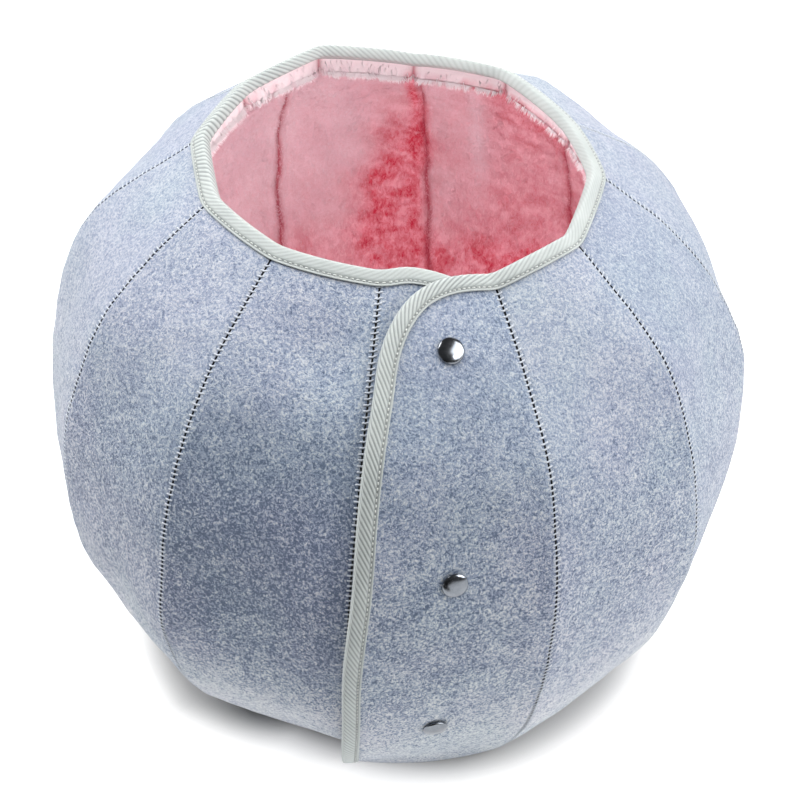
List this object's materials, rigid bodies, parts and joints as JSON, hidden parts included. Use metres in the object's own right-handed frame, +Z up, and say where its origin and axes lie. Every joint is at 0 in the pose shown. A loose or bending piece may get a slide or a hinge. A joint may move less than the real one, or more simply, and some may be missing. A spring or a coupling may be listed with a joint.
{
  "type": "felt cat cave",
  "caption": "Round open-topped cat cave: a ball of upright felt gores with a plush lining, a mouth bound in ribbed tape and an overlapping front flap closed with press snaps.",
  "frame": {"origin": "middle of the flat underside, on the floor that the cave stands on", "axes": "+Z up out of the mouth, -Y towards the front flap, +X to the right seen from the front"},
  "size_m": [0.4486, 0.459, 0.3631],
  "materials": {
    "felt": "heathered needle felt",
    "plush": "short pile plush",
    "tape": "ribbed twill tape",
    "snap": "dark polished metal"
  },
  "bodies": {
    "root": {"gore_01": "felt", "gore_02": "felt", "gore_03": "felt", "gore_04": "felt", "gore_05": "felt", "gore_06": "felt", "gore_07": "felt", "gore_08": "felt", "gore_09": "felt", "gore_10": "felt", "gore_11": "felt", "gore_under": "felt", "gore_flap": "felt", "lining_01": "plush", "lining_02": "plush", "lining_03": "plush", "lining_04": "plush", "lining_05": "plush", "lining_06": "plush", "lining_07": "plush", "lining_08": "plush", "lining_09": "plush", "lining_10": "plush", "lining_11": "plush", "lining_under": "plush", "lining_flap": "plush", "binding": "tape", "snap_cap_1": "snap", "snap_cap_2": "snap", "snap_cap_3": "snap", "snap_stud_1": "snap", "snap_stud_2": "snap", "snap_stud_3": "snap", "base_felt": "felt", "base_lining": "plush"}
  },
  "joints": []
}
